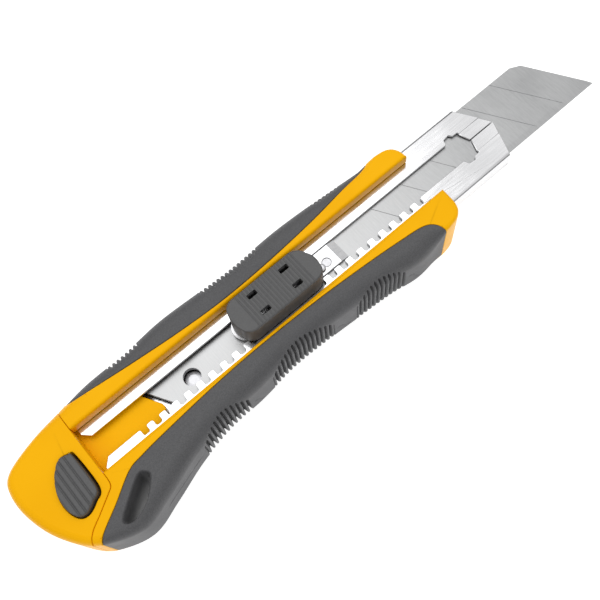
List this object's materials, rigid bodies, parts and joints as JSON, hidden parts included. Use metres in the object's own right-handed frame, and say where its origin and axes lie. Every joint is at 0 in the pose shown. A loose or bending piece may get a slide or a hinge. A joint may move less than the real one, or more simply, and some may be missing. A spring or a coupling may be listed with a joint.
{
  "type": "snap-off knife",
  "caption": "Hand knife with a scored snap-off blade sliding in a steel channel, moulded handle with soft grips, ratchet slide lock and latched end cap.",
  "frame": {"origin": "on the flat back of the handle, on the channel's centre line, under the slide button", "axes": "+X towards the blade tip, +Y towards the blade's spine, +Z out of the face with the slide button"},
  "size_m": [0.176, 0.0366, 0.0192],
  "materials": {
    "yellow_abs": "satin moulded ABS, warm yellow",
    "gray_soft": "matt over-moulded soft grip, dark gray",
    "gray_hard": "matt moulded plastic, dark gray",
    "stainless": "bright rolled stainless sheet",
    "blade_steel": "ground tool steel, satin",
    "spring_steel": "plain bright spring steel"
  },
  "bodies": {
    "handle": {"handle_body": "yellow_abs", "upper_grip": "gray_soft", "lower_grip": "gray_soft", "blade_channel": "stainless", "front_rivet": "spring_steel", "rear_rivet": "spring_steel", "spare_blade_1": "blade_steel", "spare_blade_2": "blade_steel", "magazine_spring": "spring_steel"},
    "carriage": {"blade_carrier": "stainless", "blade_stud": "spring_steel", "pawl_keeper": "spring_steel", "keeper_rivet": "spring_steel", "slide_button": "gray_hard", "cutting_blade": "blade_steel", "pawl_spring": "spring_steel"},
    "pawl": {"lock_pawl": "spring_steel"},
    "cap": {"end_cap": "yellow_abs", "cap_button_spring": "spring_steel"},
    "cap_latch": {"cap_button": "gray_hard"}
  },
  "joints": [
    {"name": "blade_slide", "type": "slide", "parent": "handle", "child": "carriage", "axis": [1, 0, 0], "range_m": [-0.036, 0.0288]},
    {"name": "pawl_retract", "type": "slide", "parent": "carriage", "child": "pawl", "axis": [0, 1, 0], "range_m": [0, 0.0017], "stiffness_N_per_m": 400, "springref_m": -0.0008, "deforming": ["pawl_spring"]},
    {"name": "cap_slide", "type": "slide", "parent": "handle", "child": "cap", "axis": [-1, 0, 0], "range_m": [0, 0.022]},
    {"name": "cap_button_press", "type": "slide", "parent": "cap", "child": "cap_latch", "axis": [0, 0, -1], "range_m": [0, 0.0015], "stiffness_N_per_m": 600, "springref_m": -0.0008, "deforming": ["cap_button_spring"]}
  ]
}
